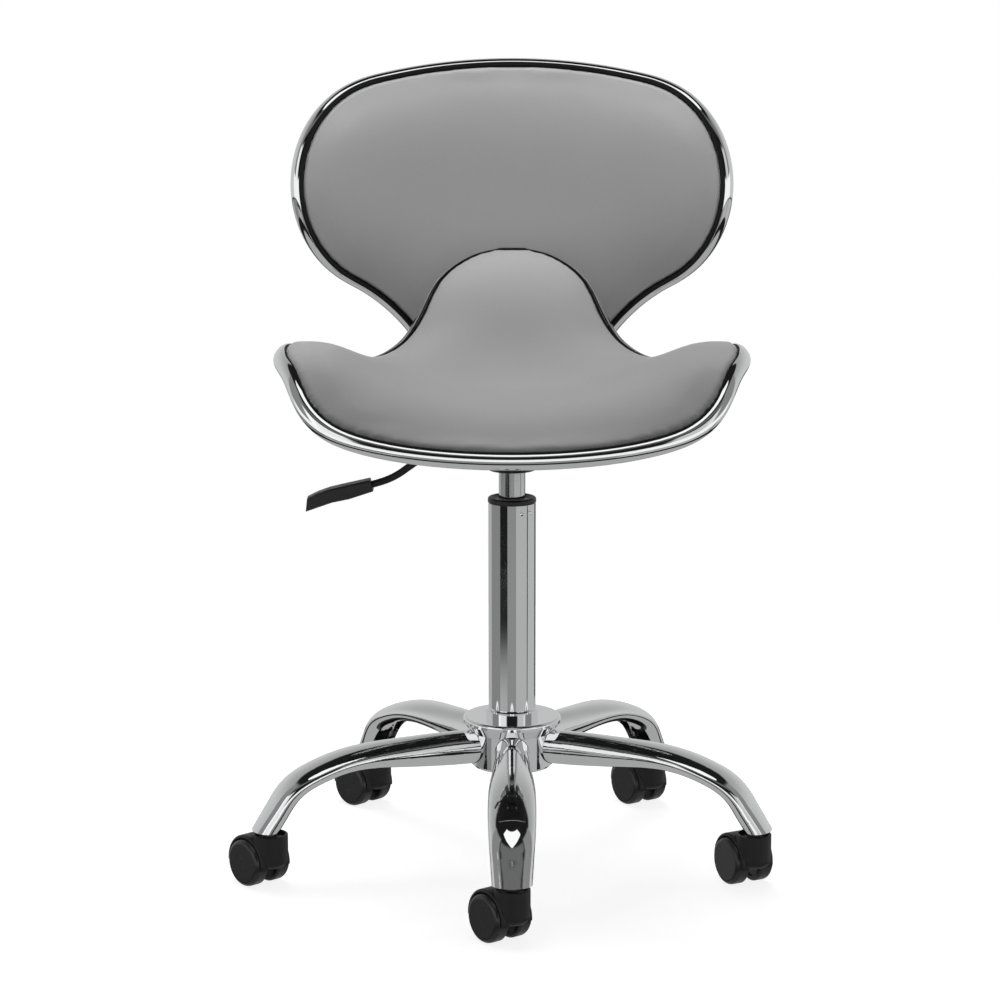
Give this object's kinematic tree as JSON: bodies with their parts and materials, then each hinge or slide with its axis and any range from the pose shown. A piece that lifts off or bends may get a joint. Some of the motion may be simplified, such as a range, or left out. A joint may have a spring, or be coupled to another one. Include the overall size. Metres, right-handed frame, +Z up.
{
  "type": "work stool",
  "caption": "Height-adjustable work stool: padded saddle seat with raised wings and a matching back in bright rims, on a gas lift column and a castered star base.",
  "frame": {"origin": "on the floor under the column axis", "axes": "+Z up along the column, -Y towards the front of the seat, +X to the right seen from the front"},
  "size_m": [0.5739, 0.5508, 0.8459],
  "materials": {
    "chrome": "bright plated",
    "vinyl": "soft grained vinyl over foam",
    "piping": "black vinyl welt",
    "shell": "moulded plywood",
    "under_cover": "black lining cloth",
    "black_steel": "black powder coat",
    "black_plastic": "satin moulded",
    "wheel": "smooth moulded",
    "steel": "ground steel",
    "zinc": "zinc plated",
    "seal": "plain"
  },
  "bodies": {
    "base": {"hub": "chrome", "column_tube": "chrome", "column_bush": "black_plastic", "thrust_bearing": "steel", "stem_plates": "black_steel", "caster_stems": "zinc", "stem_nuts": "zinc", "leg_front": "chrome", "leg_right_front": "chrome", "leg_right_rear": "chrome", "leg_left_rear": "chrome", "leg_left_front": "chrome"},
    "lift_rod": {"piston_rod": "steel", "piston": "seal", "rod_clip": "steel"},
    "seat": {"gas_cylinder": "steel", "rod_guide": "seal", "taper_cup": "black_steel", "seat_plate": "black_steel", "lever_pivot": "steel", "plate_bolts": "zinc", "plate_spacers": "black_steel", "tee_nuts": "zinc", "seat_shell": "shell", "seat_cushion": "vinyl", "seat_piping": "piping", "seat_rim": "chrome", "seat_cover": "under_cover", "back_shell": "shell", "back_cushion": "vinyl", "back_piping": "piping", "back_rim": "chrome", "back_cover": "vinyl", "back_bar": "black_steel", "bar_bolts": "zinc", "bar_nuts": "zinc"},
    "valve": {"valve_button": "steel"},
    "lever": {"lever_rod": "black_steel", "lever_grip": "black_plastic"},
    "caster_front": {"hood_front": "black_plastic", "axle_front": "steel"},
    "wheel_a_front": {"wheel_a_front": "wheel"},
    "wheel_b_front": {"wheel_b_front": "wheel"},
    "caster_right_front": {"hood_right_front": "black_plastic", "axle_right_front": "steel"},
    "wheel_a_right_front": {"wheel_a_right_front": "wheel"},
    "wheel_b_right_front": {"wheel_b_right_front": "wheel"},
    "caster_right_rear": {"hood_right_rear": "black_plastic", "axle_right_rear": "steel"},
    "wheel_a_right_rear": {"wheel_a_right_rear": "wheel"},
    "wheel_b_right_rear": {"wheel_b_right_rear": "wheel"},
    "caster_left_rear": {"hood_left_rear": "black_plastic", "axle_left_rear": "steel"},
    "wheel_a_left_rear": {"wheel_a_left_rear": "wheel"},
    "wheel_b_left_rear": {"wheel_b_left_rear": "wheel"},
    "caster_left_front": {"hood_left_front": "black_plastic", "axle_left_front": "steel"},
    "wheel_a_left_front": {"wheel_a_left_front": "wheel"},
    "wheel_b_left_front": {"wheel_b_left_front": "wheel"}
  },
  "joints": [
    {"name": "seat_swivel", "type": "hinge", "parent": "base", "child": "lift_rod", "pos_m": [0, 0, 0.3], "axis": [0, 0, 1], "continuous": true},
    {"name": "seat_lift", "type": "slide", "parent": "lift_rod", "child": "seat", "axis": [0, 0, 1], "range_m": [0, 0.13]},
    {"name": "lever_pull", "type": "hinge", "parent": "seat", "child": "lever", "pos_m": [-0.026, 0, 0.4598], "axis": [0, 1, 0], "range_deg": [0, 9], "stiffness_Nm_per_rad": 1.5, "springref_deg": -5.73},
    {"name": "valve_press", "type": "slide", "parent": "seat", "child": "valve", "axis": [0, 0, 1], "range_m": [-0.0045, 0]},
    {"name": "swivel_front", "type": "hinge", "parent": "base", "child": "caster_front", "pos_m": [0, -0.2663, 0.06], "axis": [0, 0, 1], "continuous": true},
    {"name": "roll_a_front", "type": "hinge", "parent": "caster_front", "child": "wheel_a_front", "pos_m": [-0.01201, -0.25093, 0.025], "axis": [-0.788, -0.6157, 0], "continuous": true},
    {"name": "roll_b_front", "type": "hinge", "parent": "caster_front", "child": "wheel_b_front", "pos_m": [-0.01201, -0.25093, 0.025], "axis": [-0.788, -0.6157, 0], "continuous": true},
    {"name": "swivel_right_front", "type": "hinge", "parent": "base", "child": "caster_right_front", "pos_m": [0.25327, -0.08229, 0.06], "axis": [0, 0, 1], "continuous": true},
    {"name": "roll_a_right_front", "type": "hinge", "parent": "caster_right_front", "child": "wheel_a_right_front", "pos_m": [0.24411, -0.06507, 0.025], "axis": [-0.8829, -0.4695, 0], "continuous": true},
    {"name": "roll_b_right_front", "type": "hinge", "parent": "caster_right_front", "child": "wheel_b_right_front", "pos_m": [0.24411, -0.06507, 0.025], "axis": [-0.8829, -0.4695, 0], "continuous": true},
    {"name": "swivel_right_rear", "type": "hinge", "parent": "base", "child": "caster_right_rear", "pos_m": [0.15653, 0.21544, 0.06], "axis": [0, 0, 1], "continuous": true},
    {"name": "roll_a_right_rear", "type": "hinge", "parent": "caster_right_rear", "child": "wheel_a_right_rear", "pos_m": [0.14534, 0.23142, 0.025], "axis": [-0.8192, -0.5736, 0], "continuous": true},
    {"name": "roll_b_right_rear", "type": "hinge", "parent": "caster_right_rear", "child": "wheel_b_right_rear", "pos_m": [0.14534, 0.23142, 0.025], "axis": [-0.8192, -0.5736, 0], "continuous": true},
    {"name": "swivel_left_rear", "type": "hinge", "parent": "base", "child": "caster_left_rear", "pos_m": [-0.15653, 0.21544, 0.06], "axis": [0, 0, 1], "continuous": true},
    {"name": "roll_a_left_rear", "type": "hinge", "parent": "caster_left_rear", "child": "wheel_a_left_rear", "pos_m": [-0.17055, 0.22899, 0.025], "axis": [-0.6947, -0.7193, 0], "continuous": true},
    {"name": "roll_b_left_rear", "type": "hinge", "parent": "caster_left_rear", "child": "wheel_b_left_rear", "pos_m": [-0.17055, 0.22899, 0.025], "axis": [-0.6947, -0.7193, 0], "continuous": true},
    {"name": "swivel_left_front", "type": "hinge", "parent": "base", "child": "caster_left_front", "pos_m": [-0.25327, -0.08229, 0.06], "axis": [0, 0, 1], "continuous": true},
    {"name": "roll_a_left_front", "type": "hinge", "parent": "caster_left_front", "child": "wheel_a_left_front", "pos_m": [-0.26656, -0.06803, 0.025], "axis": [-0.7314, -0.682, 0], "continuous": true},
    {"name": "roll_b_left_front", "type": "hinge", "parent": "caster_left_front", "child": "wheel_b_left_front", "pos_m": [-0.26656, -0.06803, 0.025], "axis": [-0.7314, -0.682, 0], "continuous": true}
  ],
  "couplings": [
    {"joint": "valve_press", "follows": "lever_pull", "m_per_rad": -0.026}
  ]
}
